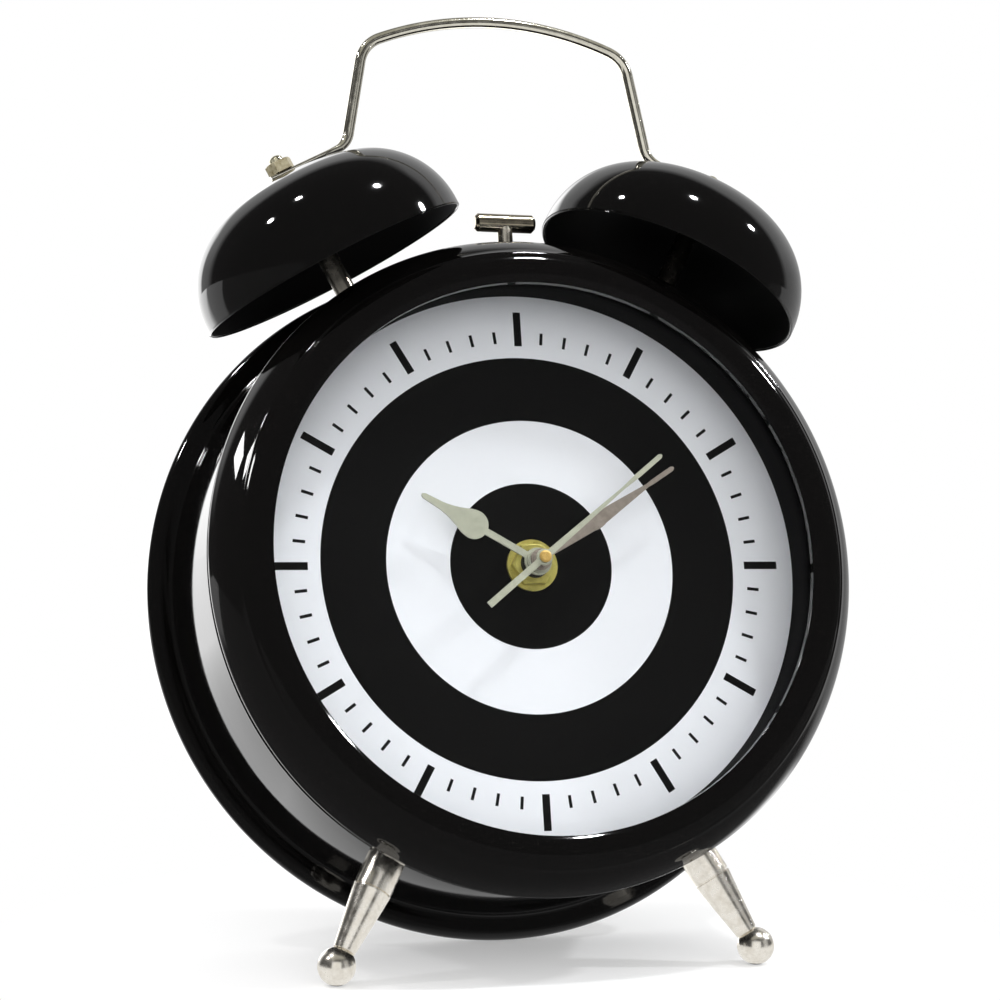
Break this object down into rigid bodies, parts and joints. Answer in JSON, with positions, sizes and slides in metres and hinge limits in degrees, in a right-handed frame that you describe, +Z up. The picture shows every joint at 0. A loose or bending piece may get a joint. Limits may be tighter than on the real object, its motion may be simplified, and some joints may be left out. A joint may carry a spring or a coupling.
{
  "type": "twin bell alarm clock",
  "caption": "Twin bell alarm clock: black conical drum case with white dial, domed bells on posts, hammer between them, arched wire handle and ball feet; the back has knobs and a battery bay.",
  "frame": {"origin": "middle of the bounding box at floor level", "axes": "+Z up, dial towards -Y and leaning back, +X to the right as seen from the front"},
  "size_m": [0.2006, 0.1158, 0.2683],
  "materials": {
    "black_enamel": "high gloss",
    "bell_enamel": "high gloss",
    "clear_glass": "clear",
    "printed_white": "satin print",
    "grey_plastic": "matte",
    "black_plastic": "fine texture",
    "pale_plastic": "smooth",
    "brass_plate": "bright",
    "cream_aluminium": "satin",
    "cell_wrap": "satin wrap",
    "spring_steel": "bright",
    "screw_steel": "zinc plated",
    "motor_can": "drawn can",
    "satin_nickel": "satin nickel plate",
    "polished_chrome": "polished"
  },
  "bodies": {
    "case": {"case_drum": "black_enamel", "front_bezel": "black_enamel", "lens": "clear_glass", "spacer_ring": "black_enamel", "dial_plate": "printed_white", "support_ring": "grey_plastic", "movement_case": "black_plastic", "dial_washer": "brass_plate", "movement_nut": "brass_plate", "rear_housing": "black_plastic", "battery_cells": "cell_wrap", "battery_contacts": "spring_steel", "back_cover": "black_plastic", "back_cover_screws": "screw_steel", "hammer_bracket": "screw_steel", "bracket_screws": "screw_steel", "bell_motor": "motor_can", "hammer_pivot_pin": "screw_steel", "left_bell": "bell_enamel", "right_bell": "bell_enamel", "left_bell_post": "satin_nickel", "right_bell_post": "satin_nickel", "left_bell_nut": "brass_plate", "right_bell_nut": "brass_plate", "post_lock_nuts": "screw_steel", "handle": "polished_chrome", "left_foot": "satin_nickel", "right_foot": "satin_nickel", "foot_lock_nuts": "screw_steel"},
    "minute": {"minute_hand": "cream_aluminium", "minute_arbor": "pale_plastic"},
    "hour": {"hour_hand": "cream_aluminium", "hour_tube": "pale_plastic"},
    "second": {"second_hand": "cream_aluminium", "second_pin": "brass_plate"},
    "time_setting": {"time_knob": "black_plastic"},
    "alarm_setting": {"alarm_knob": "black_plastic"},
    "alarm_slider": {"alarm_switch": "black_plastic"},
    "door": {"battery_door": "black_plastic"},
    "hammer": {"hammer_lever": "screw_steel", "hammer_rod": "satin_nickel", "hammer_head": "satin_nickel"},
    "crank": {"crank_disc": "pale_plastic"}
  },
  "joints": [
    {"name": "minute_turn", "type": "hinge", "parent": "case", "child": "minute", "pos_m": [0, -0.02594, 0.11148], "axis": [0, 0.9683, -0.2498], "continuous": true},
    {"name": "hour_turn", "type": "hinge", "parent": "case", "child": "hour", "pos_m": [0, -0.02304, 0.11073], "axis": [0, 0.9683, -0.2498], "continuous": true},
    {"name": "second_turn", "type": "hinge", "parent": "case", "child": "second", "pos_m": [0, -0.02885, 0.11223], "axis": [0, 0.9683, -0.2498], "continuous": true},
    {"name": "time_knob_turn", "type": "hinge", "parent": "case", "child": "time_setting", "pos_m": [-0.018, 0.03593, 0.11514], "axis": [0, 0.9683, -0.2498], "continuous": true},
    {"name": "alarm_knob_turn", "type": "hinge", "parent": "case", "child": "alarm_setting", "pos_m": [0.018, 0.03593, 0.11514], "axis": [0, 0.9683, -0.2498], "continuous": true},
    {"name": "alarm_switch_slide", "type": "slide", "parent": "case", "child": "alarm_slider", "axis": [1, 0, 0], "range_m": [0, 0.004]},
    {"name": "battery_door_hinge", "type": "hinge", "parent": "case", "child": "door", "pos_m": [0, 0.02314, 0.06835], "axis": [-1, 0, 0], "range_deg": [0, 75]},
    {"name": "hammer_swing", "type": "hinge", "parent": "case", "child": "hammer", "pos_m": [0, 0.00558, 0.17564], "axis": [0, -0.9683, 0.2498], "range_deg": [-8.3, 8.3]},
    {"name": "crank_turn", "type": "hinge", "parent": "case", "child": "crank", "pos_m": [0, 0.00592, 0.15696], "axis": [0, -0.9683, 0.2498], "continuous": true}
  ],
  "couplings": [
    {"joint": "hour_turn", "follows": "minute_turn", "ratio": 0.083333},
    {"joint": "time_knob_turn", "follows": "minute_turn", "ratio": -1}
  ]
}
